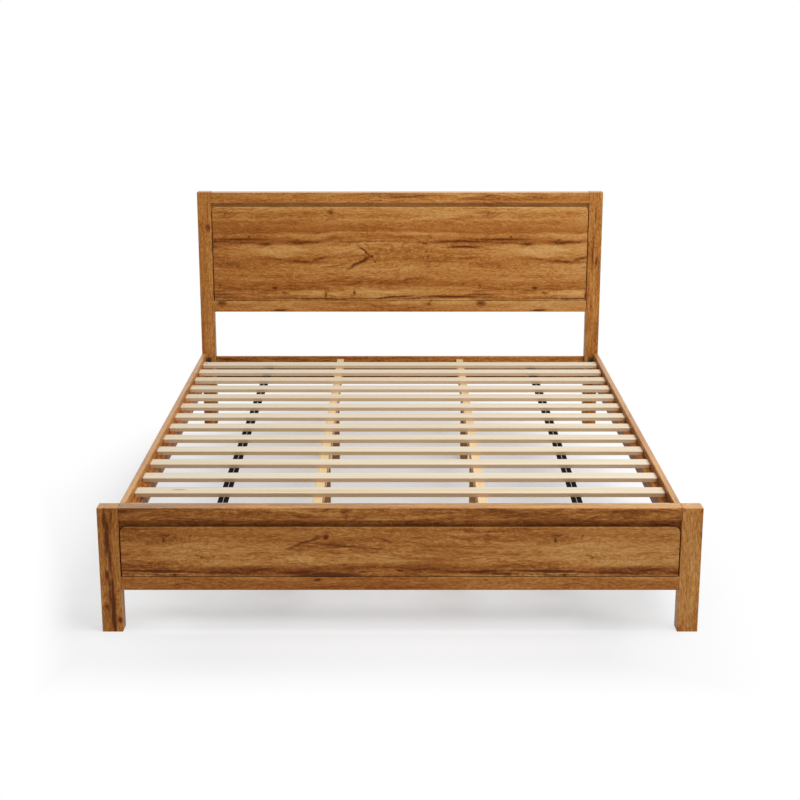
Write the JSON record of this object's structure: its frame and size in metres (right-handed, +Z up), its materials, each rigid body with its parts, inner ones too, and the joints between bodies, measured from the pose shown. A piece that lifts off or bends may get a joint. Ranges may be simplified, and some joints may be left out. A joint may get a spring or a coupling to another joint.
{
  "type": "panel bed",
  "caption": "Low platform-style panel bed in golden brown woodgrain, with a framed flat-panel headboard and footboard, side rails and a slatted pine base.",
  "frame": {"origin": "on the floor, under the middle of the bed's bounding box", "axes": "+Z up; +Y from the footboard to the headboard; +X to the right as seen from the footboard"},
  "size_m": [1.616, 2.139, 0.934],
  "materials": {
    "brown_oak": "golden brown oak woodgrain, satin",
    "brown_oak_panel": "golden brown oak woodgrain laid along the panel, satin",
    "backing": "golden brown oak woodgrain, satin",
    "leg_wood": "brown stained wood, satin",
    "pale_slat": "bare pale pine, planed",
    "pine_beam": "bare yellow pine, planed",
    "webbing": "black woven tape",
    "staple_wire": "bright wire",
    "dark_steel": "grey-brown coated steel",
    "dowel": "bare beech",
    "bolt": "grey-brown coated steel",
    "insert": "plain",
    "screw": "zinc plated"
  },
  "bodies": {
    "root": {"beam_angle_screws": "screw", "beam_angles": "dark_steel", "beam_leg_foot_left": "leg_wood", "beam_leg_foot_right": "leg_wood", "beam_leg_head_left": "leg_wood", "beam_leg_head_right": "leg_wood", "bracket_bolts": "bolt", "bracket_inserts": "insert", "bracket_screws": "screw", "cleat_screws": "screw", "corner_bracket_foot_left": "dark_steel", "corner_bracket_foot_right": "dark_steel", "corner_bracket_head_left": "dark_steel", "corner_bracket_head_right": "dark_steel", "footboard_backing": "backing", "footboard_bottom_rail": "brown_oak", "footboard_dowels": "dowel", "footboard_panel": "brown_oak_panel", "footboard_post_left": "brown_oak", "footboard_post_right": "brown_oak", "footboard_top_rail": "brown_oak", "head_cross_rail": "brown_oak", "headboard_backing": "backing", "headboard_bottom_rail": "brown_oak", "headboard_dowels": "dowel", "headboard_panel": "brown_oak_panel", "headboard_post_left": "brown_oak", "headboard_post_right": "brown_oak", "headboard_top_rail": "brown_oak", "leg_studs": "screw", "panel_screws": "screw", "side_rail_left": "brown_oak", "side_rail_right": "brown_oak", "slat_01": "pale_slat", "slat_02": "pale_slat", "slat_03": "pale_slat", "slat_04": "pale_slat", "slat_05": "pale_slat", "slat_06": "pale_slat", "slat_07": "pale_slat", "slat_08": "pale_slat", "slat_09": "pale_slat", "slat_10": "pale_slat", "slat_11": "pale_slat", "slat_12": "pale_slat", "slat_13": "pale_slat", "slat_14": "pale_slat", "slat_15": "pale_slat", "slat_cleat_left": "brown_oak", "slat_cleat_right": "brown_oak", "slat_screws": "screw", "strap_left_inner": "webbing", "strap_left_outer": "webbing", "strap_right_inner": "webbing", "strap_right_outer": "webbing", "strap_staples": "staple_wire", "support_beam_left": "pine_beam", "support_beam_right": "pine_beam"}
  },
  "joints": []
}
